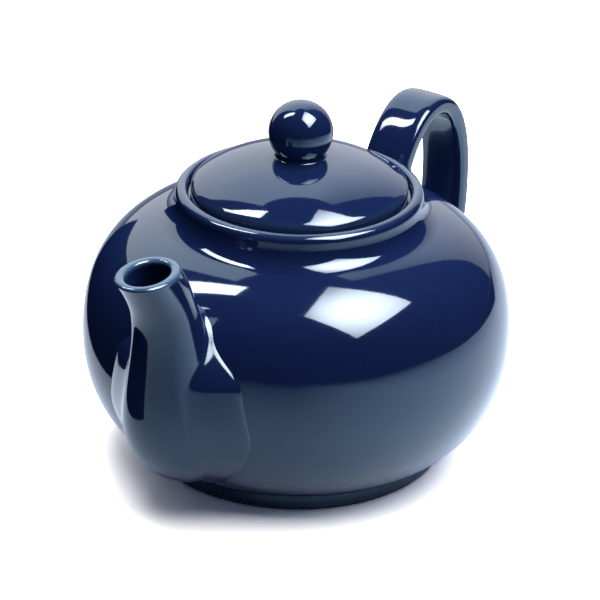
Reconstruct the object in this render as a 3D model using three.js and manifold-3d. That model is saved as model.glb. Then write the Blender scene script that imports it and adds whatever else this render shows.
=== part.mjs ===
// A stoneware teapot: globe body with a rolled rim, S-curved spout, strap handle and lift-off lid.
// Lengths are millimetres. Z is up, the body's axis stands at the origin, and the spout points to -X.
import * as THREE from 'three';
import { mergeVertices } from 'three/addons/utils/BufferGeometryUtils.js';
import Module from 'manifold-3d';

const wasm = await Module();
wasm.setup();

// Driving sizes
const belly = {
  radius: 75, // widest radius of the globe
  height: 44.2, // where the globe is widest
  rise: 25.5, // pull of the curve above the widest line
  drop: 27.1, // pull of the curve below it
  wall: 4.5,
  floor: 5, // thickness of the clay over the foot
};
const shoulder = {
  height: 89.4, // where its line would meet the collar
  slope: THREE.MathUtils.degToRad(17.2),
  pull: 22.8,
};
const foot = {
  radius: 52.5,
  height: 5.5,
  width: 6, // of the standing ring
  bevel: 1.2,
  slope: THREE.MathUtils.degToRad(29.8), // of the wall where it meets the ring
  pull: 5.5,
};
const rim = {
  mouthRadius: 38.8,
  rollRadius: 2.8, // outer rounding of the roll
  innerRound: 1.3,
  rise: 6.4, // roll's widest line above the shoulder's line
  cove: 6, // reach of the hollow curve between collar and shoulder
  ledgeDepth: 3.6, // lid seat below the crest
  ledgeWidth: 4.4,
  ledgeThickness: 4,
};
const lidSizes = {
  gap: 1.4, // open ring between lid and mouth
  wall: 4.5,
  edge: 6.2, // height of the edge over its seat
  edgeRound: 1.8,
  dome: 9.5, // rise of the dome over its edge
  crown: 45, // half the width of the oval that the dome is part of
  flangeGap: 1,
  flangeWall: 3,
  flangeDepth: 8,
  ventRadius: 1.9,
  ventReach: 18, // vent's distance from the axis
  ventTurn: THREE.MathUtils.degToRad(34),
};
const knobSizes = {
  ball: 11.2,
  neck: 8.6,
  seat: 10.4, // radius of the flat that it stands on
  lift: 8.6, // ball's centre above the seat
};
const spoutSizes = {
  reach: 11.6, // mouth's centre beyond the belly
  below: 1.1, // mouth's centre under the rim's crest
  mouthLean: THREE.MathUtils.degToRad(4.5), // outward tilt of the cut mouth
  neckPull: 28.7, // length of the middle line's upper pull, measured down
  neckLean: 24.1, // and inwards
  rootHeight: 34,
  rootInset: 25.2, // start of the middle line inside the belly line
  rootPull: 37.8, // length of its lower pull, outwards
  rootSag: 9.6, // and down
  rootRadius: 19.7,
  neckRadius: 10.2,
  lip: 10,
  lipRise: 1.1, // height of the lip's rounding
  drawnLip: 2.2, // how much further the mouth reaches along the pour than across it
  wall: 3.3,
  fillet: 11, // beside and above the root
  lowFillet: 4, // and under it
};
const strainer = {
  holeRadius: 2.6,
  spacing: 8,
  height: 44, // centre of the pierced patch
};
const handleSizes = {
  width: 18,
  thickness: 7,
  cornerShare: 0.5, // squareness of the strap's section: 1 is an oval and 0 a plain bar
  reach: 21.2, // strap's centre line beyond the belly
  over: 4.6, // strap's centre line above the rim's crest, at the top of the loop
  upperRoot: 55, // radius of the upper root's centre
  lowerRoot: 29.2, // height of the lower root's centre
  upperPull: 7, // outward lean of the rising end
  widest: 70.1, // height where the loop reaches furthest
  lowerPull: 17.7,
  tuck: 20, // how far the lower end turns in under the loop
  inset: 8, // how far the path runs on inside the body
  fillet: 6,
};
const gap = 0.3; // slip joint between luted pieces
const rootEdge = 0.4; // thickness that a luted root thins out to
const sink = 1; // how far a root runs into the globe before it is cut back
const overrun = 3; // how far a cutting tool runs past what it cuts
const weldShare = 0.001; // of the slip joint, within which corners are one
const slopeShare = 0.001; // of a line, over which its slope is taken

// Counts
const around = 48;
const spoutAround = 32;
const strapAround = 20;
const seamFineness = 4; // trial places on a root's seam for each line that leaves it

// Sizes that follow from them
const rimRadius = rim.mouthRadius + rim.innerRound + rim.rollRadius;
const rollHeight = shoulder.height + rim.rise;
const crest = rollHeight + rim.rollRadius;
const ledge = crest - rim.ledgeDepth;
const bore = rim.mouthRadius - rim.ledgeWidth;
const innerFloor = foot.height + belly.floor;

const yAxis = new THREE.Vector3(0, 1, 0);
const half = 1 / 2;

function curvePoints(curve, steps, from = 0, to = 1) {
  return Array.from({ length: steps + 1 }, (_, i) => curve.getPoint(from + ((to - from) * i) / steps));
}

function arcPoints(x, y, radius, from, to, steps) {
  return Array.from({ length: steps + 1 }, (_, i) => {
    const angle = from + ((to - from) * i) / steps;
    return new THREE.Vector2(x + radius * Math.cos(angle), y + radius * Math.sin(angle));
  });
}

const vec = (x, y) => new THREE.Vector2(x, y);

// Finds where a rising function passes a value, between two places.
function solve(f, value, low, high) {
  const sign = f(high) > f(low) ? 1 : -1;
  let [a, b] = [low, high];
  for (let i = 0; i < 40; i++) {
    const mid = (a + b) * half;
    if ((f(mid) - value) * sign > 0) b = mid;
    else a = mid;
  }
  return (a + b) * half;
}

// Outline of the globe from the foot to the widest line, and from there to the collar.
const lowerCurve = new THREE.CubicBezierCurve(
  vec(foot.radius, foot.height),
  vec(foot.radius + foot.pull * Math.cos(foot.slope), foot.height + foot.pull * Math.sin(foot.slope)),
  vec(belly.radius, belly.height - belly.drop),
  vec(belly.radius, belly.height),
);
const upperCurve = new THREE.CubicBezierCurve(
  vec(belly.radius, belly.height),
  vec(belly.radius, belly.height + belly.rise),
  vec(
    rimRadius + shoulder.pull * Math.cos(shoulder.slope),
    shoulder.height - shoulder.pull * Math.sin(shoulder.slope),
  ),
  vec(rimRadius, shoulder.height),
);

// The cove leaves the shoulder along its own slope and ends upright under the roll.
const coveStart = solve((t) => upperCurve.getPoint(t).x, rimRadius + rim.cove, half, 1);
const coveFoot = upperCurve.getPoint(coveStart);
const coveTangent = upperCurve.getTangent(coveStart);
const coveCorner = coveFoot.y + (coveTangent.y / coveTangent.x) * (rimRadius - coveFoot.x);
const coveCurve = new THREE.QuadraticBezierCurve(
  coveFoot,
  vec(rimRadius, coveCorner),
  vec(rimRadius, rollHeight),
);

const globeOutline = [
  ...curvePoints(lowerCurve, 10),
  ...curvePoints(upperCurve, 10, 0, coveStart).slice(1),
  ...curvePoints(coveCurve, 5).slice(1),
];

// Radius of the globe's outside at a height, and the way that its surface faces there.
function globeRadius(z) {
  const points = globeOutline;
  const next = points.findIndex((p) => p.y > z);
  if (next < 0) return points[points.length - 1].x;
  const i = Math.max(next, 1);
  const share = (z - points[i - 1].y) / (points[i].y - points[i - 1].y);
  return THREE.MathUtils.lerp(points[i - 1].x, points[i].x, Math.max(share, 0));
}

function globeNormal(p) {
  const step = gap;
  const slope = (globeRadius(p.z + step) - globeRadius(p.z - step)) / (step + step);
  const across = new THREE.Vector3(p.x, p.y, 0).normalize();
  return new THREE.Vector3(across.x, across.y, -slope).normalize();
}

// How far a point stands outside the globe, with the slip joint counted as clay.
const outside = (p) => Math.hypot(p.x, p.y) - globeRadius(p.z) - gap / globeLean(p);

function globeLean(p) {
  const n = globeNormal(p);
  return Math.hypot(n.x, n.y);
}

// Drops a point onto the globe, straight towards or away from the axis, or to a distance above it.
function ontoGlobe(p, above = 0) {
  const z = THREE.MathUtils.clamp(p.z, foot.height + gap, rollHeight);
  const here = new THREE.Vector3(p.x, p.y, z);
  const radius = globeRadius(z) + (gap + above) / globeLean(here);
  const across = new THREE.Vector2(p.x, p.y).setLength(radius);
  return new THREE.Vector3(across.x, across.y, z);
}

// Solids
function weld(geometry) {
  const g = geometry.clone();
  g.deleteAttribute('normal');
  g.deleteAttribute('uv');
  const merged = mergeVertices(g, gap * weldShare);
  const index = merged.index.array;
  const kept = [];
  for (let i = 0; i < index.length; i += 3) {
    const [a, b, c] = [index[i], index[i + 1], index[i + 2]];
    if (a !== b && b !== c && c !== a) kept.push(a, b, c);
  }
  merged.setIndex(kept);
  return merged;
}

function toSolid(geometry) {
  const g = weld(geometry);
  return new wasm.Manifold(
    new wasm.Mesh({
      numProp: 3,
      vertProperties: new Float32Array(g.attributes.position.array),
      triVerts: new Uint32Array(g.index.array),
    }),
  );
}

function fromSolid(solid) {
  const mesh = solid.getMesh();
  const g = new THREE.BufferGeometry();
  g.setAttribute('position', new THREE.BufferAttribute(new Float32Array(mesh.vertProperties), 3));
  g.setIndex([...mesh.triVerts]);
  g.computeVertexNormals();
  return g;
}

// Turns an outline of radius and height round the upright axis.
function turned(outline, segments = around) {
  return weld(new THREE.LatheGeometry(outline, segments).rotateX(Math.PI * half));
}

// Skins rows of rings. Each row is one ring; loop closes the last ring onto the first,
// and otherwise each end is closed with a fan to its own middle point.
function skinned(rings, loop, ends = []) {
  const n = rings[0].length;
  const positions = rings.flat().flatMap((p) => p.toArray());
  const index = [];
  const last = loop ? rings.length : rings.length - 1;
  for (let i = 0; i < last; i++) {
    const a = i * n;
    const b = ((i + 1) % rings.length) * n;
    for (let j = 0; j < n; j++) {
      const k = (j + 1) % n;
      index.push(a + j, b + j, b + k, a + j, b + k, a + k);
    }
  }
  ends.forEach((middle, side) => {
    const m = positions.length / 3;
    positions.push(...middle.toArray());
    const start = side === 0 ? 0 : (rings.length - 1) * n;
    for (let j = 0; j < n; j++) {
      const k = (j + 1) % n;
      if (side === 0) index.push(m, start + j, start + k);
      else index.push(m, start + k, start + j);
    }
  });
  const g = new THREE.BufferGeometry();
  g.setAttribute('position', new THREE.Float32BufferAttribute(positions, 3));
  g.setIndex(index);
  return g;
}

// Faces point outwards when the enclosed volume is positive.
function facedOutwards(geometry) {
  const p = geometry.attributes.position;
  const [a, b, c] = [new THREE.Vector3(), new THREE.Vector3(), new THREE.Vector3()];
  const index = [...geometry.index.array];
  let volume = 0;
  for (let i = 0; i < index.length; i += 3) {
    a.fromBufferAttribute(p, index[i]);
    b.fromBufferAttribute(p, index[i + 1]);
    c.fromBufferAttribute(p, index[i + 2]);
    volume += a.dot(b.cross(c));
  }
  if (volume < 0) {
    for (let i = 0; i < index.length; i += 3) [index[i + 1], index[i + 2]] = [index[i + 2], index[i + 1]];
    geometry.setIndex(index);
  }
  geometry.computeVertexNormals();
  return geometry;
}

// Joins a member to the globe. skin(angle, t) walks round the member and along it, from a place
// inside the globe to one outside it. Each line leaves the globe square to the seam, in a fillet
// whose size may change along the seam.
function rootLines(skin, from, to, fillet, count, steps) {
  const turn = Math.PI * 2;
  const seamPoint = (angle) => {
    const t = solve((share) => outside(skin(angle, share)), 0, from, to);
    return { angle, t, point: skin(angle, t) };
  };
  const fine = count * seamFineness;
  const seam = Array.from({ length: fine + 1 }, (_, i) => seamPoint((turn * i) / fine));
  const reached = [0];
  for (let i = 1; i <= fine; i++) reached.push(reached[i - 1] + seam[i].point.distanceTo(seam[i - 1].point));
  const meets = Array.from({ length: count }, (_, j) => {
    const aim = (reached[fine] * j) / count;
    const i = Math.max(reached.findIndex((length) => length > aim), 1);
    const share = (aim - reached[i - 1]) / (reached[i] - reached[i - 1]);
    return seamPoint((turn * (i - 1 + share)) / fine);
  });
  const centre = meets.reduce((sum, m) => sum.add(m.point), new THREE.Vector3()).divideScalar(count);
  return meets.map((meet, j) => {
    const ahead = meets[(j + 1) % count].point.clone().sub(meets[(j + count - 1) % count].point);
    const globe = globeNormal(meet.point);
    const size = fillet(meet.point);
    const outwards = ahead.clone().cross(globe).setLength(size);
    if (outwards.dot(meet.point.clone().sub(centre)) < 0) outwards.negate();
    const round = slopeOf((share) => skin(meet.angle + share * turn, meet.t), 0);
    const along = slopeOf((share) => skin(meet.angle, meet.t + share * (to - from)), 0);
    const upwards = ahead.clone().cross(round.clone().cross(along)).setLength(size);
    if (upwards.dot(globe) < 0) upwards.negate();
    const [aa, bb, ab] = [round.dot(round), along.dot(along), round.dot(along)];
    const [a, b] = [round.dot(upwards), along.dot(upwards)];
    const determinant = aa * bb - ab * ab;
    const off = {
      angle: meet.angle + (turn * (a * bb - b * ab)) / determinant,
      t: meet.t + ((to - from) * (b * aa - a * ab)) / determinant,
    };
    const spread = ontoGlobe(meet.point.clone().add(outwards), rootEdge);
    const curve = new THREE.QuadraticBezierCurve3(spread, meet.point, skin(off.angle, off.t));
    const points = curve.getPoints(steps).map((p) => (outside(p) < rootEdge ? ontoGlobe(p, rootEdge) : p));
    return { points, off };
  });
}

function slopeOf(curve, share) {
  const step = slopeShare;
  return curve(share + step).sub(curve(share - step)).divideScalar(step + step);
}

// The globe grown by the slip joint, to cut luted members back with.
function globeTool() {
  const grown = globeOutline.map((p, i) => {
    const along = globeOutline[Math.min(i + 1, globeOutline.length - 1)]
      .clone()
      .sub(globeOutline[Math.max(i - 1, 0)])
      .setLength(gap);
    return vec(p.x + along.y, p.y - along.x);
  });
  return toSolid(turned([vec(0, grown[0].y), ...grown, vec(0, grown[grown.length - 1].y)]));
}

// Body: one turned outline for the outside, the rolled rim, the lid's ledge and the inside.
function inset(curve, steps) {
  return Array.from({ length: steps + 1 }, (_, i) => {
    const t = i / steps;
    const p = curve.getPoint(t);
    const tangent = curve.getTangent(t);
    return vec(p.x - tangent.y * belly.wall, p.y + tangent.x * belly.wall);
  });
}

function makeBody() {
  const rollCentre = rimRadius - rim.rollRadius;
  const inner = [...inset(lowerCurve, 7), ...inset(upperCurve, 7).slice(1)]
    .filter((p) => p.y > innerFloor && p.x > bore)
    .reverse();
  const outline = [
    vec(0, foot.height),
    ...globeOutline,
    ...arcPoints(rollCentre, rollHeight, rim.rollRadius, 0, Math.PI * half, 4).slice(1),
    ...arcPoints(
      rim.mouthRadius + rim.innerRound,
      crest - rim.innerRound,
      rim.innerRound,
      Math.PI * half,
      Math.PI,
      3,
    ).slice(1),
    vec(rim.mouthRadius, ledge),
    vec(bore, ledge),
    vec(bore, ledge - rim.ledgeThickness),
    ...inner,
    vec(inner[inner.length - 1].x - belly.wall * half, innerFloor),
    vec(0, innerFloor),
  ];
  let solid = toSolid(turned(outline));
  for (const hole of strainerHoles()) solid = solid.subtract(hole);
  return fromSolid(solid);
}

// Strainer: one hole in the middle and a ring of six, pierced level through the wall.
function strainerHoles() {
  const places = [vec(0, 0)];
  for (let i = 0; i < 6; i++) {
    const angle = (Math.PI * i) / 3;
    places.push(vec(strainer.spacing * Math.cos(angle), strainer.spacing * Math.sin(angle)));
  }
  const inside = belly.radius - belly.wall - overrun - strainer.spacing;
  const length = belly.radius + overrun - inside;
  return places.map((p) => {
    const tool = new THREE.CylinderGeometry(strainer.holeRadius, strainer.holeRadius, length, 12);
    tool.rotateZ(Math.PI * half);
    tool.translate(-(inside + length * half), p.x, strainer.height + p.y);
    return toSolid(tool);
  });
}

// Foot: a plain turned ring with its standing edges eased.
function makeFootRing() {
  const inner = foot.radius - foot.width;
  return turned([
    vec(inner, foot.height),
    vec(inner, foot.bevel),
    vec(inner + foot.bevel, 0),
    vec(foot.radius - foot.bevel, 0),
    vec(foot.radius, foot.bevel),
    vec(foot.radius, foot.height),
    vec(inner, foot.height),
  ]);
}

// Spout: rings along an S-shaped middle line in the plane of the handle.
const spoutLine = new THREE.CubicBezierCurve3(
  new THREE.Vector3(-(belly.radius - spoutSizes.rootInset), 0, spoutSizes.rootHeight),
  new THREE.Vector3(
    -(belly.radius - spoutSizes.rootInset + spoutSizes.rootPull),
    0,
    spoutSizes.rootHeight - spoutSizes.rootSag,
  ),
  new THREE.Vector3(
    -(belly.radius + spoutSizes.reach - spoutSizes.neckLean),
    0,
    crest - spoutSizes.below - spoutSizes.neckPull,
  ),
  new THREE.Vector3(-(belly.radius + spoutSizes.reach), 0, crest - spoutSizes.below),
);

// Places on the middle line, as shares of it, where the radius and the mouth's tilt take over.
const taperShares = [0.15, 0.88];
const mouthShares = [0.7, 1];
const lipShares = [0.8, 1];
const lowShares = [0.5, 1.1]; // of the root's height, where the fillet grows to its full size

function spoutRadius(t) {
  const taper = THREE.MathUtils.smoothstep(t, ...taperShares);
  const neck = THREE.MathUtils.lerp(spoutSizes.rootRadius, spoutSizes.neckRadius, taper);
  return THREE.MathUtils.lerp(neck, spoutSizes.lip, THREE.MathUtils.smoothstep(t, ...lipShares));
}

function spoutPoint(t, angle, radius, ahead = 0) {
  const drawn = spoutSizes.drawnLip * THREE.MathUtils.smoothstep(t, ...lipShares);
  const centre = spoutLine.getPoint(t);
  const mouth = new THREE.Vector3(-Math.sin(spoutSizes.mouthLean), 0, Math.cos(spoutSizes.mouthLean));
  const tilt = THREE.MathUtils.smoothstep(t, ...mouthShares);
  const along = spoutLine.getTangent(t).lerp(mouth, tilt).normalize();
  const out = new THREE.Vector3().crossVectors(yAxis, along);
  return centre
    .addScaledVector(out, (radius + drawn) * Math.cos(angle))
    .addScaledVector(yAxis, radius * Math.sin(angle))
    .addScaledVector(along, ahead);
}

function makeSpout() {
  const neckRings = 11;
  const seatRings = 3;
  const lipRound = spoutSizes.wall * half;
  const skin = (angle, t) => spoutPoint(t, angle, spoutRadius(t));
  const fillet = (p) => {
    const [low, high] = lowShares.map((share) => spoutSizes.rootHeight * share);
    const share = THREE.MathUtils.smoothstep(p.z, low, high);
    return THREE.MathUtils.lerp(spoutSizes.lowFillet, spoutSizes.fillet, share);
  };
  const roots = rootLines(skin, 0, 1, fillet, spoutAround, 5);
  const lipMiddle = spoutSizes.lip - lipRound;
  const lines = [];
  roots.forEach(({ points, off }, j) => {
    const angle = (Math.PI * 2 * j) / spoutAround;
    const line = [...points];
    for (let i = 1; i <= neckRings; i++) {
      const share = i / neckRings;
      line.push(skin(THREE.MathUtils.lerp(off.angle, angle, share), THREE.MathUtils.lerp(off.t, 1, share)));
    }
    for (let i = 1; i < 5; i++) {
      const turn = (Math.PI * i) / 5;
      const radius = lipMiddle + lipRound * Math.cos(turn);
      line.push(spoutPoint(1, angle, radius, spoutSizes.lipRise * Math.sin(turn)));
    }
    const inner = (t) => spoutPoint(t, angle, spoutRadius(t) - spoutSizes.wall);
    const tMeet = solve((t) => outside(inner(t)), -sink, 0, 1);
    for (let i = 0; i <= neckRings; i++) line.push(inner(THREE.MathUtils.lerp(1, tMeet, i / neckRings)));
    const [from, to] = [line[line.length - 1], line[0]];
    for (let i = 1; i <= seatRings; i++) line.push(ontoGlobe(from.clone().lerp(to, i / seatRings), -sink));
    lines.push(line);
  });
  const rings = lines[0].map((_, i) => lines.map((line) => line[i]));
  const tube = facedOutwards(skinned(rings, true));
  return fromSolid(toSolid(tube).subtract(globeTool()));
}

// Handle: a rounded strap section carried along one loop from the shoulder to the lower belly.
const handleTop = crest + handleSizes.over;
const handleOut = belly.radius + handleSizes.reach;
const upperRootHeight = solve((z) => globeRadius(z), handleSizes.upperRoot, belly.height, rollHeight);
const archStart = new THREE.Vector3(
  handleSizes.upperRoot - handleSizes.upperPull * (handleSizes.inset / (handleTop - upperRootHeight)),
  0,
  upperRootHeight - handleSizes.inset,
);
// The arch's two pulls share one height, which puts its top at the handle's height.
const archPull = (handleTop * 8 - archStart.z - handleSizes.widest) / 6;
const handlePath = new THREE.CurvePath();
handlePath.add(
  new THREE.CubicBezierCurve3(
    archStart,
    new THREE.Vector3(handleSizes.upperRoot + handleSizes.upperPull, 0, archPull),
    new THREE.Vector3(handleOut, 0, archPull),
    new THREE.Vector3(handleOut, 0, handleSizes.widest),
  ),
);
const lowerEnd = globeRadius(handleSizes.lowerRoot) - handleSizes.inset;
handlePath.add(
  new THREE.CubicBezierCurve3(
    new THREE.Vector3(handleOut, 0, handleSizes.widest),
    new THREE.Vector3(handleOut, 0, handleSizes.widest - handleSizes.lowerPull),
    new THREE.Vector3(lowerEnd + handleSizes.inset + handleSizes.tuck, 0, handleSizes.lowerRoot),
    new THREE.Vector3(lowerEnd, 0, handleSizes.lowerRoot),
  ),
);

// The strap's rounded section at an angle, as offsets across and through the strap.
function strapSection(angle) {
  const rounded = (share) => Math.sign(share) * Math.abs(share) ** handleSizes.cornerShare;
  const across = handleSizes.width * half * rounded(Math.cos(angle));
  return vec(across, handleSizes.thickness * half * rounded(Math.sin(angle)));
}

function strapPoint(angle, t) {
  const offset = strapSection(angle);
  const out = new THREE.Vector3().crossVectors(handlePath.getTangent(t), yAxis).negate();
  return handlePath.getPoint(t).addScaledVector(yAxis, offset.x).addScaledVector(out, offset.y);
}

function makeHandle() {
  const spans = 26;
  const fillet = () => handleSizes.fillet;
  const upper = rootLines(strapPoint, 0, half, fillet, strapAround, 3);
  const lower = rootLines(strapPoint, 1, half, fillet, strapAround, 3);
  const lines = upper.map(({ points, off }, j) => {
    const line = [...points];
    for (let i = 1; i < spans; i++) {
      const share = i / spans;
      const angle = THREE.MathUtils.lerp(off.angle, lower[j].off.angle, share);
      line.push(strapPoint(angle, THREE.MathUtils.lerp(off.t, lower[j].off.t, share)));
    }
    return [...line, ...lower[j].points.reverse()];
  });
  const rings = lines[0].map((_, i) => lines.map((line) => line[i]));
  const buried = (ring) => {
    const centre = ring.reduce((sum, p) => sum.add(p), new THREE.Vector3()).divideScalar(ring.length);
    return { ring: ring.map((p) => ontoGlobe(p, -sink)), centre: ontoGlobe(centre, -sink) };
  };
  const [start, end] = [buried(rings[0]), buried(rings[rings.length - 1])];
  const strap = facedOutwards(skinned([start.ring, ...rings, end.ring], false, [start.centre, end.centre]));
  return fromSolid(toSolid(strap).subtract(globeTool()));
}

// Lid: a domed plate with an eased edge, a flat for the knob and a ring that drops into the mouth.
const lidRadius = rim.mouthRadius - lidSizes.gap;
const lidEdge = ledge + lidSizes.edge;
const flangeRadius = bore - lidSizes.flangeGap;
const domeBase = lidRadius - lidSizes.edgeRound;
const bulge = (r, reach) => Math.sqrt(1 - (r / reach) ** 2);
const domeDepth = lidSizes.dome / (1 - bulge(domeBase, lidSizes.crown));
const domeCentre = lidEdge + lidSizes.dome - domeDepth;
const domeHeight = (r) => domeCentre + domeDepth * bulge(r, lidSizes.crown);
const knobSeat = domeHeight(knobSizes.seat);

function makeLid() {
  const flangeInner = flangeRadius - lidSizes.flangeWall;
  const [reach, depth] = [lidSizes.crown - lidSizes.wall, domeDepth - lidSizes.wall];
  const topSteps = 7;
  const top = Array.from({ length: topSteps + 1 }, (_, i) => {
    const r = THREE.MathUtils.lerp(knobSizes.seat, domeBase, i / topSteps);
    return vec(r, domeHeight(r));
  });
  const underSteps = 5;
  const under = Array.from({ length: underSteps + 1 }, (_, i) => {
    const r = THREE.MathUtils.lerp(flangeInner, 0, i / underSteps);
    return vec(r, domeCentre + depth * bulge(r, reach));
  });
  const outline = [
    vec(0, knobSeat),
    ...top,
    ...arcPoints(domeBase, lidEdge - lidSizes.edgeRound, lidSizes.edgeRound, Math.PI / 3, 0, 3),
    vec(lidRadius - lidSizes.edgeRound * half, ledge),
    vec(flangeRadius, ledge),
    vec(flangeRadius - lidSizes.flangeGap * half, ledge - lidSizes.flangeDepth),
    vec(flangeInner, ledge - lidSizes.flangeDepth),
    ...under,
  ];
  const vent = new THREE.CylinderGeometry(
    lidSizes.ventRadius,
    lidSizes.ventRadius,
    lidSizes.dome + lidSizes.wall + overrun,
    12,
  );
  vent.rotateX(Math.PI * half);
  vent.translate(lidSizes.ventReach, 0, lidEdge + lidSizes.dome * half);
  vent.rotateZ(lidSizes.ventTurn);
  return fromSolid(toSolid(turned(outline.reverse())).subtract(toSolid(vent)));
}

// Knob: a ball that melts into a short neck and stands on the lid's flat.
function makeKnob() {
  const centre = knobSeat + knobSizes.lift;
  const low = -Math.acos(knobSizes.neck / knobSizes.ball);
  const neckEnd = vec(knobSizes.ball * Math.cos(low), centre + knobSizes.ball * Math.sin(low));
  const flare = new THREE.QuadraticBezierCurve(
    vec(knobSizes.seat, knobSeat),
    vec(knobSizes.neck, knobSeat),
    neckEnd,
  );
  const outline = [
    vec(0, knobSeat),
    ...curvePoints(flare, 4),
    ...arcPoints(0, centre, knobSizes.ball, low, Math.PI * half, 14).slice(1),
  ];
  outline[outline.length - 1].x = 0;
  return turned(outline, around * half);
}

// Finishes and assembly
const cobaltGlaze = new THREE.MeshStandardMaterial({ color: 0x1b2a5c, roughness: 0.12, metalness: 0 });
const footGlaze = new THREE.MeshStandardMaterial({ color: 0x151f45, roughness: 0.3, metalness: 0 });

function piece(name, geometry, material) {
  const mesh = new THREE.Mesh(geometry, material.clone());
  mesh.name = name;
  return mesh;
}

const pot = new THREE.Group();
pot.add(
  piece('body', makeBody(), cobaltGlaze),
  piece('foot_ring', makeFootRing(), footGlaze),
  piece('spout', makeSpout(), cobaltGlaze),
  piece('handle', makeHandle(), cobaltGlaze),
);

const lid = new THREE.Group();
lid.add(piece('lid', makeLid(), cobaltGlaze), piece('lid_knob', makeKnob(), cobaltGlaze));

const teapot = new THREE.Group();
teapot.add(pot, lid);

export default teapot;
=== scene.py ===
import bisect
import math
import bmesh
import bpy
from mathutils import Matrix, Vector


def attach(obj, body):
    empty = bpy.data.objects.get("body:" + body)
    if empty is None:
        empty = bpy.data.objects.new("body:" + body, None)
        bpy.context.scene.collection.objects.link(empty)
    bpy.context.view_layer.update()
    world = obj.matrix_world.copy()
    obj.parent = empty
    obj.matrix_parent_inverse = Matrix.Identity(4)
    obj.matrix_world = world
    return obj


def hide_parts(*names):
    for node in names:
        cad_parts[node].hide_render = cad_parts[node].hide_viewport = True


# A stoneware teapot in deep blue glaze. Sizes are written in millimetres and made in metres.
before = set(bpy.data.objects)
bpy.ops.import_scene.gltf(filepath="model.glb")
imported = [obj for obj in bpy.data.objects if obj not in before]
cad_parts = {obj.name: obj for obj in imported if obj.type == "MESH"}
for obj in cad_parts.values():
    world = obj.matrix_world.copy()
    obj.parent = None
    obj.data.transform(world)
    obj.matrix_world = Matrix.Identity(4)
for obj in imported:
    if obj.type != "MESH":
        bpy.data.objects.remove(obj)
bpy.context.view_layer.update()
mm = 0.001
print("frame loaded")

belly = {"radius": 75, "height": 44.2, "rise": 25.5, "drop": 27.1, "wall": 4.5, "floor": 5,
         "floorRing": 20, "floorRound": 3.2, "floorSag": 0.6, "floorEase": 0.9, "floorClear": 1.5,
         "boreClear": 1.2,
         "shoulderHeight": 89.4, "shoulderSlope": 17.2, "shoulderPull": 22.8, "turns": 224}
foot = {"radius": 52.5, "height": 5.5, "width": 6, "bevel": 1.2, "slope": 29.8, "pull": 5.5,
        "recess": 6}
rim = {"mouth": 38.8, "roll": 2.8, "innerRound": 1.3, "rise": 6.4, "cove": 6,
       "ledgeDepth": 3.6, "ledgeWidth": 4.4, "ledgeThickness": 4, "ledgeRound": 0.8,
       "boreRound": 0.7, "underRound": 0.9, "thin": 0.12, "thinDepth": 1.6, "thinTop": 0.1,
       "thinInset": 0.5}

rimRadius = rim["mouth"] + rim["innerRound"] + rim["roll"]
rollHeight = belly["shoulderHeight"] + rim["rise"]
crest = rollHeight + rim["roll"]
ledge = crest - rim["ledgeDepth"]
bore = rim["mouth"] - rim["ledgeWidth"]
innerFloor = foot["height"] + belly["floor"]
sharpFrom = math.radians(34)   # an edge that turns more than this is shaded as an edge


def smooth(x, low, high):
    s = min(max((x - low) / (high - low), 0), 1)
    return s * s * (3 - 2 * s)


def mix(a, b, share):
    return a + (b - a) * share


def cubicPoint(p, t):
    u = 1 - t
    return (p[0] * (u * u * u) + p[1] * (3 * u * u * t)
            + p[2] * (3 * u * t * t) + p[3] * (t * t * t))


def cubicSlope(p, t):
    u = 1 - t
    return (p[1] - p[0]) * (3 * u * u) + (p[2] - p[1]) * (6 * u * t) + (p[3] - p[2]) * (3 * t * t)


def cubicRun(p, steps, start=0, end=1):
    return [cubicPoint(p, mix(start, end, i / steps)) for i in range(steps + 1)]


def arcRun(x, y, radius, start, end, steps):
    return [Vector((x + radius * math.cos(mix(start, end, i / steps)),
                    y + radius * math.sin(mix(start, end, i / steps)))) for i in range(steps + 1)]


def solve(f, value, low, high):   # halves the span until f comes to the value
    sign = 1 if f(high) > f(low) else -1
    for _ in range(34):
        mid = (low + high) / 2
        if (f(mid) - value) * sign > 0:
            high = mid
        else:
            low = mid
    return (low + high) / 2


# outline of the globe, in radius and height
footSlope = math.radians(foot["slope"])
shoulderSlope = math.radians(belly["shoulderSlope"])
lowerCurve = [Vector((foot["radius"], foot["height"])),
              Vector((foot["radius"] + foot["pull"] * math.cos(footSlope),
                      foot["height"] + foot["pull"] * math.sin(footSlope))),
              Vector((belly["radius"], belly["height"] - belly["drop"])),
              Vector((belly["radius"], belly["height"]))]
upperCurve = [Vector((belly["radius"], belly["height"])),
              Vector((belly["radius"], belly["height"] + belly["rise"])),
              Vector((rimRadius + belly["shoulderPull"] * math.cos(shoulderSlope),
                      belly["shoulderHeight"] - belly["shoulderPull"] * math.sin(shoulderSlope))),
              Vector((rimRadius, belly["shoulderHeight"]))]
coveStart = solve(lambda t: cubicPoint(upperCurve, t).x, rimRadius + rim["cove"], 0.5, 1)
coveFoot = cubicPoint(upperCurve, coveStart)
coveSlope = cubicSlope(upperCurve, coveStart)
coveDrop = coveSlope.y / coveSlope.x * (rimRadius - coveFoot.x)
coveCorner = Vector((rimRadius, coveFoot.y + coveDrop))
coveEnd = Vector((rimRadius, rollHeight))
coveCurve = [coveFoot, coveFoot.lerp(coveCorner, 2 / 3), coveEnd.lerp(coveCorner, 2 / 3), coveEnd]

globeOutline = (cubicRun(lowerCurve, 60) + cubicRun(upperCurve, 70, 0, coveStart)[1:]
                + cubicRun(coveCurve, 24)[1:])
globeHeights = [p.y for p in globeOutline]


def globeRadius(z):
    i = min(max(bisect.bisect_right(globeHeights, z), 1), len(globeOutline) - 1)
    a, b = globeOutline[i - 1], globeOutline[i]
    return mix(a.x, b.x, min(max((z - a.y) / (b.y - a.y), 0), 1))


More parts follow.
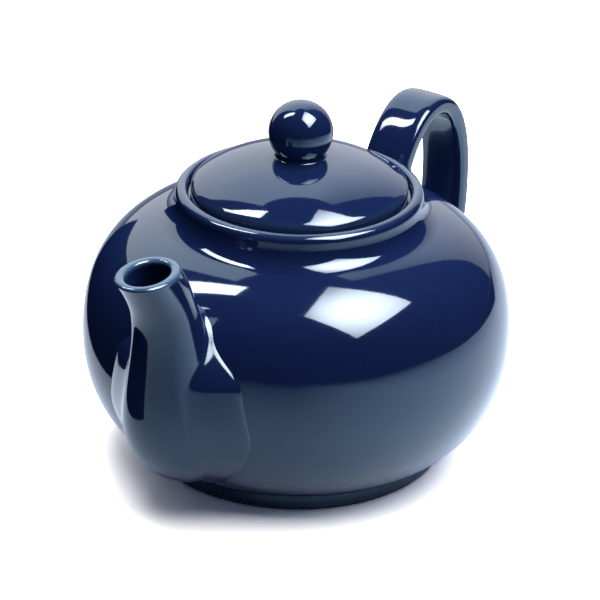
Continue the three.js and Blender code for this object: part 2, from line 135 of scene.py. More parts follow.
def globeNormal(p):   # straight out of the globe's surface
    step = 0.4
    slope = (globeRadius(p.z + step) - globeRadius(p.z - step)) / (2 * step)
    across = Vector((p.x, p.y, 0)).normalized()
    return Vector((across.x, across.y, -slope)).normalized()


def above(p):   # height of a point over the globe, square to its surface
    lean = globeNormal(p)
    return (math.hypot(p.x, p.y) - globeRadius(p.z)) * math.hypot(lean.x, lean.y)


def ontoGlobe(p, height=0):   # the point moved level, in or out, to a height over the globe
    lean = globeNormal(p)
    radius = globeRadius(p.z) + height / math.hypot(lean.x, lean.y)
    across = Vector((p.x, p.y)).normalized() * radius
    return Vector((across.x, across.y, p.z))


def finishPiece(bm, name, body, node, material):   # makes a mesh one piece of the teapot
    bmesh.ops.remove_doubles(bm, verts=bm.verts, dist=1e-7)
    bmesh.ops.recalc_face_normals(bm, faces=bm.faces)
    for face in bm.faces:
        face.smooth = True
    for edge in bm.edges:
        if len(edge.link_faces) == 2 and edge.calc_face_angle(0) > sharpFrom:
            edge.smooth = False
    mesh = bpy.data.meshes.new(name)
    bm.to_mesh(mesh)
    bm.free()
    piece = bpy.data.objects.new(name, mesh)
    bpy.context.scene.collection.objects.link(piece)
    mesh.materials.append(material)
    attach(piece, body)
    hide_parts(node)
    print(name, "made with", len(mesh.polygons), "faces")
    return piece


def turnedMesh(outline, turns):   # spins an outline of radius and height round the upright axis
    bm = bmesh.new()
    verts = [bm.verts.new((p.x * mm, 0, p.y * mm)) for p in outline]
    edges = [bm.edges.new(pair) for pair in zip(verts, verts[1:])]
    bmesh.ops.spin(bm, geom=verts + edges, cent=(0, 0, 0), axis=(0, 0, 1),
                   angle=math.tau, steps=turns, use_merge=True)
    return bm


def loftMesh(rings, closedLoop=False):   # draws one ring out to the next, all the way along
    bm = bmesh.new()
    ring = bmesh.ops.create_circle(bm, segments=len(rings[0]), radius=1)["verts"]
    for vert, p in zip(ring, rings[0]):
        vert.co = p * mm
    for points in rings[1:] + (rings[:1] if closedLoop else []):
        edges = [bm.edges.get(pair) for pair in zip(ring, ring[1:] + ring[:1])]
        grown = set(bmesh.ops.extrude_edge_only(bm, edges=edges)["geom"])
        ring = [next(e.other_vert(v) for e in v.link_edges if e.other_vert(v) in grown)
                for v in ring]
        for vert, p in zip(ring, points):
            vert.co = p * mm
    if not closedLoop:
        bmesh.ops.holes_fill(bm, edges=[e for e in bm.edges if e.is_boundary], sides=0)
    return bm


def cutAway(piece, cutter, name):   # takes a tool's shape out of a piece
    mesh = bpy.data.meshes.new(name)
    cutter.to_mesh(mesh)
    cutter.free()
    tool = bpy.data.objects.new(name, mesh)
    bpy.context.scene.collection.objects.link(tool)
    cut = piece.modifiers.new("cut", "BOOLEAN")
    cut.operation, cut.solver, cut.object = "DIFFERENCE", "EXACT", tool
    bpy.context.view_layer.update()
    shown = piece.evaluated_get(bpy.context.evaluated_depsgraph_get())
    shaped = bpy.data.meshes.new_from_object(shown)
    piece.modifiers.clear()
    piece.data = shaped
    bpy.data.objects.remove(tool)


def feed(tree, slot, value):   # links a node's output to a socket, or sets a plain value there
    if isinstance(value, Socket):
        tree.links.new(value.out, slot)
    else:
        slot.default_value = value


class Socket:   # wraps a node's output, so that sums on it read as plain arithmetic
    def __init__(self, tree, out):
        self.tree, self.out = tree, out

    def maths(self, operation, *others):
        node = self.tree.nodes.new("ShaderNodeMath")
        node.operation = operation
        for slot, value in zip(node.inputs, (self,) + others):
            feed(self.tree, slot, value)
        return Socket(self.tree, node.outputs[0])

    def __add__(self, other): return self.maths("ADD", other)
    def __radd__(self, other): return self.maths("ADD", other)
    def __sub__(self, other): return self.maths("SUBTRACT", other)
    def __rsub__(self, other): return self.maths("MULTIPLY", -1).maths("ADD", other)
    def __mul__(self, other): return self.maths("MULTIPLY", other)
    def __rmul__(self, other): return self.maths("MULTIPLY", other)
    def __truediv__(self, other): return self.maths("DIVIDE", other)
    def __rtruediv__(self, other): return self.maths("POWER", -1).maths("MULTIPLY", other)
    def __pow__(self, other): return self.maths("POWER", other)

    def clamp(self):
        self.out.node.use_clamp = True
        return self


class Shader:
    def __init__(self, name):
        self.material = bpy.data.materials.new(name)
        self.material.use_nodes = True
        self.tree = self.material.node_tree
        self.tree.nodes.clear()

    def node(self, kind, settings=None, values=None, out=0):
        node = self.tree.nodes.new(kind)
        for key, value in (settings or {}).items():
            setattr(node, key, value)
        for key, value in (values or {}).items():
            feed(self.tree, node.inputs[key], value)
        return Socket(self.tree, node.outputs[out])

    def mixed(self, share, a, b):   # colour b over colour a, by a share
        node = self.tree.nodes.new("ShaderNodeMix")
        node.data_type = "RGBA"
        slots = node.inputs["Factor"], node.inputs[6], node.inputs[7]
        for slot, value in zip(slots, (share, a, b)):
            feed(self.tree, slot, (*value, 1) if isinstance(value, tuple) else value)
        return Socket(self.tree, node.outputs[2])

    def finish(self, shader):
        output = self.tree.nodes.new("ShaderNodeOutputMaterial")
        self.tree.links.new(shader.out, output.inputs["Surface"])
        return self.material

    def surface(self, values):
        return self.finish(self.node("ShaderNodeBsdfPrincipled", values=values))


# "deep" and "open" are the glaze where it lies thick and less so, "thin" where an edge shows the
# clay through it; "sheen" cools its reflections
glaze = {"deep": (0.0075, 0.0175, 0.082), "open": (0.0135, 0.031, 0.125),
         "thin": (0.10, 0.20, 0.34), "thinLow": 0.75, "thinSpread": 0.5, "toneShift": 0.2,
         "cloudScale": 26, "waveScale": 62, "grainScale": 420, "grainShare": 0.25,
         "grainHeight": 0.05, "pit": (0.004, 0.008, 0.03), "pitScale": 95, "pitSharpness": 16,
         "pitShade": 0.5, "pitDepth": 0.35, "roughness": 0.045, "roughnessSpread": 0.03,
         "ior": 1.66, "sheen": (0.6, 0.88, 1, 1), "bump": 0.035, "bumpDistance": 0.002}


def makeGlaze(name, thinEdge=False):
    s = Shader(name)
    place = s.node("ShaderNodeTexCoord", out="Object")

    def noise(scale, detail, rough):
        return s.node("ShaderNodeTexNoise", {"noise_dimensions": "3D"},
                      {"Vector": place, "Scale": scale, "Detail": detail, "Roughness": rough})

    cloud = noise(glaze["cloudScale"], 3, 0.5)
    grain = noise(glaze["grainScale"], 2, 0.6)
    wave = noise(glaze["waveScale"], 1.5, 0.45)
    cells = s.node("ShaderNodeTexVoronoi", {"feature": "F1"},
                   {"Vector": place, "Scale": glaze["pitScale"], "Randomness": 1})
    pits = (1 - cells * glaze["pitSharpness"]).clamp()
    tone = (cloud * (1 - glaze["grainShare"]) + grain * glaze["grainShare"]
            - glaze["toneShift"]).clamp()
    colour = s.mixed(tone, glaze["deep"], glaze["open"])
    if thinEdge:
        edge = s.node("ShaderNodeAttribute", {"attribute_name": "thin"}, out="Fac")
        shows = edge * (glaze["thinLow"] + cloud * glaze["thinSpread"])
        colour = s.mixed(shows.clamp(), colour, glaze["thin"])
    colour = s.mixed(pits * glaze["pitShade"], colour, glaze["pit"])
    height = wave + grain * glaze["grainHeight"] - pits * glaze["pitDepth"]
    bump = s.node("ShaderNodeBump", values={"Height": height, "Strength": glaze["bump"],
                                            "Distance": glaze["bumpDistance"]})
    rough = glaze["roughness"] + grain * glaze["roughnessSpread"]
    return s.surface({"Base Color": colour, "Roughness": rough, "IOR": glaze["ior"],
                      "Specular Tint": glaze["sheen"], "Normal": bump})


cobalt = makeGlaze("cobalt_glaze")
cobaltEdged = makeGlaze("cobalt_glaze_edged", True)
print("glazes mixed")


def markThin(piece, share):   # stores how thinly the glaze covers each point
    mark = piece.data.attributes.new("thin", "FLOAT", "POINT")
    for vert in piece.data.vertices:
        mark.data[vert.index].value = share(vert.co / mm)


def insetRun(p, steps):   # a curve of the outline moved in by the wall's thickness
    run = []
    for i in range(steps + 1):
        slope = cubicSlope(p, i / steps).normalized()
        at = cubicPoint(p, i / steps)
        run.append(Vector((at.x - slope.y * belly["wall"], at.y + slope.x * belly["wall"])))
    return run


inside = [p for p in insetRun(lowerCurve, 30) + insetRun(upperCurve, 34)[1:]
          if p.y > innerFloor + belly["floorClear"] and p.x > bore + belly["boreClear"]]
inside.reverse()
floorCorner = Vector((inside[-1].x - belly["floorRound"], innerFloor))
bodyOutline = (
    [Vector((0, foot["height"])),
     Vector((foot["radius"] - foot["width"] - foot["recess"], foot["height"]))]
    + globeOutline
    + arcRun(rimRadius - rim["roll"], rollHeight, rim["roll"], 0, math.pi / 2, 12)[1:]
    + arcRun(rim["mouth"] + rim["innerRound"], crest - rim["innerRound"], rim["innerRound"],
             math.pi / 2, math.pi, 8)[1:]
    + arcRun(rim["mouth"] - rim["ledgeRound"], ledge + rim["ledgeRound"], rim["ledgeRound"],
             0, -math.pi / 2, 4)
    + arcRun(bore + rim["boreRound"], ledge - rim["boreRound"], rim["boreRound"],
             math.pi / 2, math.pi, 5)
    + arcRun(bore + rim["underRound"], ledge - rim["ledgeThickness"] + rim["underRound"],
             rim["underRound"], math.pi, math.pi * 1.3, 4)
    + inside
    + cubicRun([inside[-1], inside[-1].lerp(floorCorner, 0.5) - Vector((0, belly["floorSag"])),
                floorCorner + Vector((belly["floorEase"], 0)), floorCorner], 6)[1:]
    + [Vector((belly["floorRing"], innerFloor)), Vector((0, innerFloor))])

pot = finishPiece(turnedMesh(bodyOutline, belly["turns"]), "teapot_body",
                  "pot", "body", cobaltEdged)

# holes behind the spout, a ring of them round one in the middle
strainer = {"holeRadius": 2.6, "spacing": 8, "height": 44, "inset": 4, "reach": 14, "around": 6}


def holeDrill(bm, radius, depth, segments, matrix):
    bmesh.ops.create_cone(bm, cap_ends=True, segments=segments, radius1=radius * mm,
                          radius2=radius * mm, depth=depth * mm, matrix=matrix)


holes = bmesh.new()
turns = [math.tau * i / strainer["around"] for i in range(strainer["around"])]
for y, z in [(math.cos(turn), math.sin(turn)) for turn in turns] + [(0, 0)]:
    place = Vector((strainer["inset"] - belly["radius"], strainer["spacing"] * y,
                    strainer["height"] + strainer["spacing"] * z))
    holeDrill(holes, strainer["holeRadius"], strainer["reach"], 32,
              Matrix.Translation(place * mm) @ Matrix.Rotation(math.pi / 2, 4, "Y"))
cutAway(pot, holes, "strainer_holes")


def rimThinness(p):   # the glaze runs thin along the rim's crest
    if math.hypot(p.x, p.y) <= rim["mouth"] - rim["thinInset"]:
        return 0
    return rim["thin"] * smooth(p.z, crest - rim["thinDepth"], crest - rim["thinTop"])


markThin(pot, rimThinness)

footIn, footOut, bevel = foot["radius"] - foot["width"], foot["radius"], foot["bevel"]
footOutline = ([Vector((footIn, foot["height"]))]
               + arcRun(footIn + bevel, bevel, bevel, math.pi, math.pi * 1.5, 5)
               + arcRun(footOut - bevel, bevel, bevel, -math.pi / 2, 0, 6)
               + [Vector((footOut, foot["height"] * 0.6)), Vector((footOut, foot["height"]))])
footRing = turnedMesh(footOutline + [footOutline[0]], belly["turns"])
finishPiece(footRing, "foot_ring_turned", "pot", "foot_ring", cobalt)


def rootLines(skin, start, end, fillet, count, steps, hollow=2 / 3, bulk=2 / 3, lift=0):
    # the lines of the blend between the globe and a member, from the globe out to the member;
    # skin(angle, t) walks round the member and along it, from inside the globe to outside it,
    # and hollow, bulk and lift set how deep, full and raised the blend is
    def seamPoint(angle):
        t = solve(lambda share: above(skin(angle, share)), 0, start, end)
        return angle, t, skin(angle, t)

    fine = count * 2
    seam = [seamPoint(math.tau * i / fine) for i in range(fine + 1)]
    reached = [0]
    for a, b in zip(seam, seam[1:]):
        reached.append(reached[-1] + (b[2] - a[2]).length)
    meets = []
    for j in range(count):   # evenly along the seam
        aim = reached[-1] * j / count
        i = max(bisect.bisect_right(reached, aim), 1)
        share = (aim - reached[i - 1]) / (reached[i] - reached[i - 1])
        meets.append(seamPoint(math.tau * (i - 1 + share) / fine))
    centre = sum((m[2] for m in meets), Vector()) / count
    lines = []
    step = 0.002
    sunk = 0.03   # the blend starts this deep in the globe
    span = end - start
    for j, (angle, t, meet) in enumerate(meets):
        ahead = meets[(j + 1) % count][2] - meets[j - 1][2]
        globe = globeNormal(meet)
        size = fillet(meet)
        outwards = ahead.cross(globe).normalized() * size
        if outwards.dot(meet - centre) < 0:
            outwards.negate()
        around = skin(angle + step * math.tau, t) - skin(angle - step * math.tau, t)
        around /= 2 * step
        along = (skin(angle, t + step * span) - skin(angle, t - step * span)) / (2 * step)
        side = around.cross(along)
        upwards = ahead.cross(side).normalized() * size
        if upwards.dot(globe) < 0:
            upwards.negate()
        # the way up the member, told in turns round it and shares along it
        aa, bb, ab = around.dot(around), along.dot(along), around.dot(along)
        a, b = around.dot(upwards), along.dot(upwards)
        area = aa * bb - ab * ab
        offAngle = angle + math.tau * (a * bb - b * ab) / area
        offT = t + span * (b * aa - a * ab) / area
        off = skin(offAngle, offT)
        spread = ontoGlobe(meet + outwards, -sunk)
        lean = globeNormal(spread)
        inward = meet - spread
        inward -= lean * inward.dot(lean)
        sideOff = (skin(offAngle + step, offT) - skin(offAngle - step, offT)).cross(
            skin(offAngle, offT + step * span) - skin(offAngle, offT - step * span)).normalized()
        back = meet - off
        back -= sideOff * back.dot(sideOff)
        curve = [spread, spread + inward * hollow + lean * (size * lift),
                 off + back * bulk, off]
        lines.append(([cubicPoint(curve, i / steps) for i in range(steps + 1)], offAngle, offT))
    return lines


spout = {"reach": 11.6, "below": 1.1, "lean": 4.5, "neckPull": 28.7, "neckLean": 24.1,
         "rootHeight": 34, "rootInset": 25.2, "rootPull": 37.8, "rootSag": 9.6,
         "rootRadius": 19.7, "neckRadius": 10.6, "taperFrom": 0.15, "taperTo": 0.94,
         "flareFrom": 0.8, "levelFrom": 0.7, "lip": 10, "lipRise": 1.1, "drawnLip": 2.2,
         "wall": 3.3, "fillet": 11, "lowFillet": 4, "topFillet": 2.5, "topStart": 54,
         "topEnd": 70, "creaseShare": 0.04, "flankShare": 0.45, "liftShare": 0.15, "sunk": 0.4,
         "thin": 0.6, "thinBelow": 1.2, "thinAbove": 0.5,
         "around": 144, "rings": 84, "rootSteps": 20, "lipSteps": 14, "innerSteps": 48}
spoutStart = belly["radius"] - spout["rootInset"]
spoutEnd = belly["radius"] + spout["reach"]
mouthHeight = crest - spout["below"]
spoutLine = [Vector((-spoutStart, 0, spout["rootHeight"])),
             Vector((-spoutStart - spout["rootPull"], 0, spout["rootHeight"] - spout["rootSag"])),
             Vector((-spoutEnd + spout["neckLean"], 0, mouthHeight - spout["neckPull"])),
             Vector((-spoutEnd, 0, mouthHeight))]
spoutLean = math.radians(spout["lean"])
mouthUp = Vector((-math.sin(spoutLean), 0, math.cos(spoutLean)))
yAxis = Vector((0, 1, 0))


def spoutRadius(t):   # at a share of the way from the root to the lip
    tapered = mix(spout["rootRadius"], spout["neckRadius"],
                  smooth(t, spout["taperFrom"], spout["taperTo"]))
    return mix(tapered, spout["lip"], smooth(t, spout["flareFrom"], 1))


def spoutPoint(t, angle, radius, ahead=0):   # the mouth is turned level and drawn out to a lip
    drawn = spout["drawnLip"] * smooth(t, spout["flareFrom"], 1)
    along = cubicSlope(spoutLine, t).normalized()
    along = along.lerp(mouthUp, smooth(t, spout["levelFrom"], 1)).normalized()
    out = yAxis.cross(along)
    return (cubicPoint(spoutLine, t) + out * ((radius + drawn) * math.cos(angle))
            + yAxis * (radius * math.sin(angle)) + along * ahead)


def spoutFillet(p):   # small below, wide at the flanks and small again in the crotch
    size = mix(spout["lowFillet"], spout["fillet"],
               smooth(p.z, spout["rootHeight"] * 0.5, spout["rootHeight"] * 1.1))
    return mix(size, spout["topFillet"], smooth(p.z, spout["topStart"], spout["topEnd"]))


def makeSpout():
    def skin(angle, t):
        return spoutPoint(t, angle, spoutRadius(t))

    count, rings = spout["around"], spout["rings"]
    lines = []
    lipRound = spout["wall"] / 2
    root = rootLines(skin, 0, 1, spoutFillet, count, spout["rootSteps"],
                     spout["creaseShare"], spout["flankShare"], spout["liftShare"])
    for j, (points, offAngle, offT) in enumerate(root):
        angle = math.tau * j / count
        line = list(points)
        for i in range(1, rings + 1):
            line.append(skin(mix(offAngle, angle, i / rings), mix(offT, 1, i / rings)))
        for i in range(1, spout["lipSteps"]):
            turn = math.pi * i / spout["lipSteps"]
            line.append(spoutPoint(1, angle, spout["lip"] - lipRound + lipRound * math.cos(turn),
                                   spout["lipRise"] * math.sin(turn)))

        def inner(t):
            return spoutPoint(t, angle, spoutRadius(t) - spout["wall"])

        tMeet = solve(lambda t: above(inner(t)), 0.3, 0, 1)
        for i in range(spout["innerSteps"] + 1):
            line.append(inner(mix(1, tMeet, i / spout["innerSteps"])))
        start, end = line[-1], line[0]
        for i in range(1, 4):   # the hidden end lies just inside the globe's wall
            line.append(ontoGlobe(start.lerp(end, i / 4), -spout["sunk"]))
        lines.append(line)
    return loftMesh([[line[i] for line in lines] for i in range(len(lines[0]))], closedLoop=True)


spoutPiece = finishPiece(makeSpout(), "spout_thrown", "pot", "spout", cobaltEdged)


def lipThinness(p):   # it is thinnest over the spout's lip
    return spout["thin"] * smooth(p.z, mouthHeight - spout["thinBelow"],
                                  mouthHeight + spout["thinAbove"])


markThin(spoutPiece, lipThinness)

handle = {"width": 18, "thickness": 7, "cornerShare": 0.5, "reach": 21.2, "over": 5.6,
          "upperRoot": 55, "lowerRoot": 29.2, "upperPull": 7, "widest": 70.1, "lowerPull": 17.7,
          "tuck": 20, "inset": 8, "fillet": 6, "endShare": 0.6, "sunk": 0.6,
          "around": 88, "rings": 170, "rootSteps": 12}
handleTop = crest + handle["over"]
handleOut = belly["radius"] + handle["reach"]
upperHeight = solve(globeRadius, handle["upperRoot"], belly["height"], rollHeight)
archLean = handle["upperPull"] * handle["inset"] / (handleTop - upperHeight)
archStart = Vector((handle["upperRoot"] - archLean, 0, upperHeight - handle["inset"]))
archPull = (handleTop * 8 - archStart.z - handle["widest"]) / 6   # lifts its middle to the top
arch = [archStart, Vector((handle["upperRoot"] + handle["upperPull"], 0, archPull)),
        Vector((handleOut, 0, archPull)), Vector((handleOut, 0, handle["widest"]))]
lowerEnd = globeRadius(handle["lowerRoot"]) - handle["inset"]
tail = [Vector((handleOut, 0, handle["widest"])),
        Vector((handleOut, 0, handle["widest"] - handle["lowerPull"])),
        Vector((lowerEnd + handle["inset"] + handle["tuck"], 0, handle["lowerRoot"])),
        Vector((lowerEnd, 0, handle["lowerRoot"]))]


def curveLength(p):
    run = cubicRun(p, 60)
    return sum((b - a).length for a, b in zip(run, run[1:]))


archShare = curveLength(arch) / (curveLength(arch) + curveLength(tail))


def handlePlace(t):   # place and direction on the loop at a share of it
    if t <= archShare:
        return cubicPoint(arch, t / archShare), cubicSlope(arch, t / archShare).normalized()
    u = (t - archShare) / (1 - archShare)
    return cubicPoint(tail, u), cubicSlope(tail, u).normalized()


def strapPoint(angle, t):   # a strap with rounded corners
    place, along = handlePlace(t)
    out = -along.cross(yAxis)

    def rounded(x):
        return math.copysign(abs(x) ** handle["cornerShare"], x)

    return (place + yAxis * (handle["width"] / 2 * rounded(math.cos(angle)))
            + out * (handle["thickness"] / 2 * rounded(math.sin(angle))))


def makeHandle():
    count, rings = handle["around"], handle["rings"]
    upper, lower = (rootLines(strapPoint, end, 0.5, lambda p: handle["fillet"], count,
                              handle["rootSteps"]) for end in (0, 1))
    lines = []
    for (top, angleA, tA), (bottom, angleB, tB) in zip(upper, lower):
        line = list(top)
        for i in range(1, rings):
            line.append(strapPoint(mix(angleA, angleB, i / rings), mix(tA, tB, i / rings)))
        lines.append(line + bottom[::-1])
    rings = [[line[i] for line in lines] for i in range(len(lines[0]))]

    def buried(ring):   # the end of the strap, closed inside the globe's wall
        centre = sum(ring, Vector()) / len(ring)
        return [ontoGlobe(centre.lerp(p, handle["endShare"]), -handle["sunk"]) for p in ring]

    return loftMesh([buried(rings[0])] + rings + [buried(rings[-1])])


finishPiece(makeHandle(), "strap_handle", "pot", "handle", cobalt)

lid = {"gap": 1.4, "wall": 4.5, "edge": 6.2, "edgeRound": 1.8, "edgeDrop": 1.3, "edgeEase": 0.6,
       "dome": 9.5, "crown": 45,
       "flangeGap": 1, "flangeWall": 3, "flangeDepth": 8, "seatRound": 1.2, "rootRound": 0.5,
       "flangeRound": 1, "flangeTaper": 0.1, "ventRadius": 1.9, "ventReach": 18, "ventTurn": 34,
       "thin": 0.1, "thinWidth": 0.3, "thinClear": 1, "turns": 192}
lidRadius = rim["mouth"] - lid["gap"]
lidEdge = ledge + lid["edge"]
flange = bore - lid["flangeGap"]
flangeIn = flange - lid["flangeWall"]
domeBase = lidRadius - lid["edgeRound"]


def bulge(r, crown):
    return math.sqrt(1 - (r / crown) ** 2)


domeDepth = lid["dome"] / (1 - bulge(domeBase, lid["crown"]))
domeCentre = lidEdge + lid["dome"] - domeDepth


def domeHeight(r, wall=0):
    return domeCentre + (domeDepth - wall) * bulge(r, lid["crown"] - wall)


def domeFall(r):   # how steeply the dome falls outwards at a radius
    return domeDepth * r / lid["crown"] ** 2 / bulge(r, lid["crown"])


lidTop = [Vector((domeBase * i / 48, domeHeight(domeBase * i / 48))) for i in range(49)]
edgeFoot = Vector((lidRadius, lidEdge - lid["edgeRound"] * lid["edgeDrop"]))
edgeCorner = Vector((lidRadius, lidEdge - domeFall(domeBase) * lid["edgeRound"]))
lidEase = [lidTop[-1], lidTop[-1].lerp(edgeCorner, lid["edgeEase"]),
           edgeFoot.lerp(edgeCorner, lid["edgeEase"]), edgeFoot]
lidUnder = [Vector((flangeIn * i / 24, domeHeight(flangeIn * i / 24, lid["wall"])))
            for i in range(24, -1, -1)]
flangeFoot = ledge - lid["flangeDepth"] + lid["flangeRound"]
lidOutline = (lidTop + cubicRun(lidEase, 10)[1:]
              + arcRun(lidRadius - lid["seatRound"], ledge + lid["seatRound"], lid["seatRound"],
                       0, -math.pi / 2, 5)
              + arcRun(flange + lid["rootRound"], ledge - lid["rootRound"], lid["rootRound"],
                       math.pi / 2, math.pi, 4)
              + arcRun(flange - lid["flangeRound"] - lid["flangeTaper"], flangeFoot,
                       lid["flangeRound"], 0, -math.pi / 2, 4)
              + arcRun(flangeIn + lid["flangeRound"], flangeFoot, lid["flangeRound"],
                       -math.pi / 2, -math.pi, 4)
              + lidUnder)
lidPiece = finishPiece(turnedMesh(lidOutline, lid["turns"]), "domed_lid",
                       "lid", "lid", cobaltEdged)
vent = bmesh.new()
ventPlace = Vector((lid["ventReach"], 0, lidEdge + lid["dome"] / 2)) * mm
holeDrill(vent, lid["ventRadius"], lid["dome"] * 3, 40,
          Matrix.Rotation(math.radians(lid["ventTurn"]), 4, "Z") @ Matrix.Translation(ventPlace))
cutAway(lidPiece, vent, "vent_hole")


def lidThinness(p):   # the glaze runs thin along the lid's edge too
    if p.z <= ledge + lid["thinClear"]:
        return 0
    return lid["thin"] * smooth(math.hypot(p.x, p.y), domeBase - lid["thinWidth"], lidRadius)


markThin(lidPiece, lidThinness)

knob = {"ball": 11.2, "neck": 8.6, "seat": 10.4, "lift": 8.6, "sunk": 0.6, "seatSunk": 0.02,
        "seatPull": 1.5, "neckOut": 0.35, "neckPull": 1.3, "underShare": 0.9, "turns": 128}
knobSeat = domeHeight(knob["seat"])
knobCentre = knobSeat + knob["lift"]
ballFoot = -math.acos(knob["neck"] / knob["ball"])
neckEnd = Vector((knob["ball"] * math.cos(ballFoot),
                  knobCentre + knob["ball"] * math.sin(ballFoot)))
seatPoint = Vector((knob["seat"], knobSeat - knob["seatSunk"]))
neckCurve = [seatPoint, seatPoint + Vector((-1, domeFall(knob["seat"]))) * knob["seatPull"],
             neckEnd + Vector((knob["neckOut"], -knob["neckPull"])), neckEnd]
knobOutline = ([Vector((0, knobSeat - knob["sunk"])),
                Vector((knob["seat"] * knob["underShare"], knobSeat - knob["sunk"]))]
               + cubicRun(neckCurve, 14)
               + arcRun(0, knobCentre, knob["ball"], ballFoot, math.pi / 2, 52)[1:])
finishPiece(turnedMesh(knobOutline, knob["turns"]), "ball_knob",
            "lid", "lid_knob", cobalt)
print("pieces made")

# the camera, fitted to the outlines in the photograph; "focal" and "slide" are in pixels of 600
view = {"azimuth": -56, "elevation": 26.03, "distance": 1100, "target": 54.82, "focal": 3142.9,
        "roll": 1.27, "slide": -2.91, "width": 600, "sensor": 36}
azimuth, elevation, roll = (math.radians(view[key]) for key in ("azimuth", "elevation", "roll"))
back = Vector((math.sin(azimuth) * math.cos(elevation), -math.cos(azimuth) * math.cos(elevation),
               math.sin(elevation)))
right = Vector((math.cos(azimuth), math.sin(azimuth), 0))
up = back.cross(right)
eye = (Vector((0, 0, view["target"])) + back * view["distance"]
       - right * (view["slide"] * view["distance"] / view["focal"]))
rolledRight = right * math.cos(roll) + up * math.sin(roll)
rolledUp = up * math.cos(roll) - right * math.sin(roll)
camera = bpy.data.objects.new("camera", bpy.data.cameras.new("camera"))
camera.data.sensor_width = view["sensor"]
camera.data.lens = view["sensor"] * view["focal"] / view["width"]
camera.data.clip_end = 30
turned = Matrix((rolledRight, rolledUp, back)).transposed()
camera.matrix_world = Matrix.Translation(eye * mm) @ turned.to_4x4()
bpy.context.scene.collection.objects.link(camera)
bpy.context.scene.camera = camera


def plainObject(name, bm, material):
    mesh = bpy.data.meshes.new(name)
    bm.to_mesh(mesh)
    bm.free()
    thing = bpy.data.objects.new(name, mesh)
    bpy.context.scene.collection.objects.link(thing)
    mesh.materials.append(material)
    return thing


def glowing(name, glow, tone=(1, 1, 1)):   # glow is a number, or works one out from the place
    s = Shader(name)
    if not callable(glow):
        return s.finish(s.node("ShaderNodeEmission", values={"Color": (*tone, 1),
                                                             "Strength": glow}))
    glow = glow(s, s.node("ShaderNodeTexCoord", out="Object"))
    light = s.node("ShaderNodeVectorMath", {"operation": "SCALE"}, {0: tone, "Scale": glow})
    return s.finish(s.node("ShaderNodeEmission", values={"Color": light, "Strength": 1}))


def distance(s, place, centre=(0, 0, 0)):   # in millimetres
    centre = Vector(centre) * mm
    away = s.node("ShaderNodeVectorMath", {"operation": "SUBTRACT"}, {0: place, 1: centre})
    return s.node("ShaderNodeVectorMath", {"operation": "LENGTH"}, {0: away}, out="Value") / mm


def reflectionOnly(thing):   # for what only the glaze sees
    thing.visible_camera = False
    thing.visible_diffuse = False
    thing.visible_transmission = False
    thing.visible_shadow = False
    thing.visible_volume_scatter = False


# The camera sees a white floor. The glaze sees a pale blue one with painted light on it: its
# colour is painted brighter round the pot and towards the right of the picture, standing in for
# light.
floor = {"tone": 0.3, "seen": 3, "glint": (1.9, 2.15, 2.6), "full": 2.2, "far": 0.22,
         "near": 95, "fall": 1.2, "rightGain": 1.4, "rightPerMetre": 4, "size": 6}


def floorPaint():
    s = Shader("floor_paint")
    place = s.node("ShaderNodeTexCoord", out="Object")
    toRight = s.node("ShaderNodeVectorMath", {"operation": "DOT_PRODUCT"}, {0: place, 1: right},
                     out="Value")
    # painted light: a pool of light painted on the floor for glossy rays, strongest near the pot
    # and towards the right
    glint = floor["far"] + (floor["near"] / distance(s, place)) ** floor["fall"]
    glint = glint * (1 + floor["rightGain"] * (toRight * floor["rightPerMetre"]).clamp())
    reflected = s.mixed((glint / floor["full"]).clamp(), (0, 0, 0), floor["glint"])
    tone = s.mixed(s.node("ShaderNodeLightPath", out="Is Glossy Ray"), (floor["tone"],) * 3,
                   reflected)
    tone = s.mixed(s.node("ShaderNodeLightPath", out="Is Camera Ray"), tone, (floor["seen"],) * 3)
    return s.finish(s.node("ShaderNodeBsdfDiffuse", values={"Color": tone}))


bm = bmesh.new()
bmesh.ops.create_grid(bm, x_segments=2, y_segments=2, size=floor["size"])
plainObject("floor", bm, floorPaint())

# two softboxes over the pot, as the glaze shows them, each brightest in its middle
softbox = {"glow": 27, "tone": (1, 0.82, 0.82), "middle": 1.25, "fade": 0.95}


def card(name, corners, glow, tone=(1, 1, 1)):
    bm = bmesh.new()
    bm.faces.new([bm.verts.new(Vector(c) * mm) for c in corners])
    reflectionOnly(plainObject(name, bm, glowing(name + "_glow", glow, tone)))


def boxGlow(centre, reach):
    return lambda s, place: softbox["glow"] * (
        softbox["middle"] - softbox["fade"] * (distance(s, place, centre) / reach).clamp())


card("key_box", [(238, -54, 1150), (302, -460, 625), (-243, -667, 578), (-332, -291, 1111)],
     boxGlow((10, -390, 840), 440), softbox["tone"])
card("side_box", [(-49, 208, 796), (-175, 218, 782), (-256, 481, 538), (-130, 471, 552)],
     boxGlow((-150, 300, 700), 330), softbox["tone"])

# black flags, one beside the pot and one on the floor in front of it to the right
card("left_flag", [(-170, 50, 1), (80, 215, 1), (80, 215, 115), (-170, 50, 115)], 0)
card("right_flag", [(450, -150, 1), (450, -3000, 1), (3000, -3000, 1), (3000, -150, 1)], 0)
bpy.data.objects["left_flag"].visible_diffuse = True

# a dark room stands round the pot, with one pale wall behind it; "left", "right" and "top" are
# angles in degrees as seen from the pot, and the wall is dimmer at its foot and its right edge
room = {"radius": 4, "left": 84, "right": -8, "top": 68, "low": 1.2, "high": 2.2, "highAt": 0.6,
        "edge": 0.4, "edgeWidth": 30}


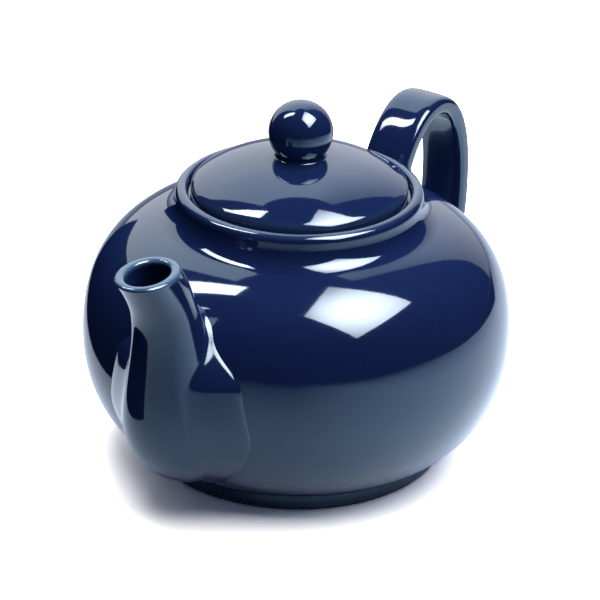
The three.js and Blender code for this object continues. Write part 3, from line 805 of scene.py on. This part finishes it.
def wallGlow(s, place):
    x, y, z = (s.node("ShaderNodeSeparateXYZ", values={"Vector": place}, out=axis)
               for axis in "XYZ")
    turn = y.maths("ARCTAN2", x) * math.degrees(1)
    rise = (z / (room["radius"] * room["highAt"])).clamp()
    fromEdge = ((turn - room["right"]) / room["edgeWidth"]).clamp()
    return ((room["low"] + rise * (room["high"] - room["low"]))
            * (room["edge"] + (1 - room["edge"]) * fromEdge))


for name, glow, pale in (("dark_room", 0, False), ("pale_wall", wallGlow, True)):
    bm = bmesh.new()
    bmesh.ops.create_uvsphere(bm, u_segments=180, v_segments=90, radius=room["radius"])
    gone = []
    for face in bm.faces:
        c = face.calc_center_median()
        turn = math.degrees(math.atan2(c.y, c.x))
        height = math.degrees(math.asin(c.z / c.length))
        wall = room["right"] < turn < room["left"] and height < room["top"]
        if c.z < 0 or wall != pale:
            gone.append(face)
    bmesh.ops.delete(bm, geom=gone, context="FACES")
    reflectionOnly(plainObject(name, bm, glowing(name + "_glow", glow)))
bpy.data.objects["pale_wall"].visible_diffuse = True

# white to the camera and in reflections, and a faint fill for everything else
worldFill = 0.05
world = bpy.data.worlds.new("studio")
bpy.context.scene.world = world
world.use_nodes = True
tree = world.node_tree
background = tree.nodes["Background"]
path = tree.nodes.new("ShaderNodeLightPath")
cameraRay, throughRay, glossyRay = (Socket(tree, path.outputs[name]) for name in (
    "Is Camera Ray", "Is Transmission Ray", "Is Glossy Ray"))
shown = (cameraRay.maths("MAXIMUM", throughRay) + glossyRay).clamp()
feed(tree, background.inputs["Strength"], shown + (1 - shown) * worldFill)
background.inputs["Color"].default_value = (1, 1, 1, 1)

lamp = {"power": 15.5, "size": 1.4, "place": (140, -190, 950), "aim": (0, 0, 60)}
light = bpy.data.lights.new("key", "AREA")
light.shape, light.size, light.energy = "SQUARE", lamp["size"], lamp["power"]
key = bpy.data.objects.new("key", light)
key.location = Vector(lamp["place"]) * mm
lampAxis = Vector(lamp["place"]) - Vector(lamp["aim"])
key.rotation_euler = lampAxis.to_track_quat("Z", "Y").to_euler()
key.visible_glossy = False
bpy.context.scene.collection.objects.link(key)

bpy.context.scene.view_settings.view_transform = "Standard"
print("studio set")
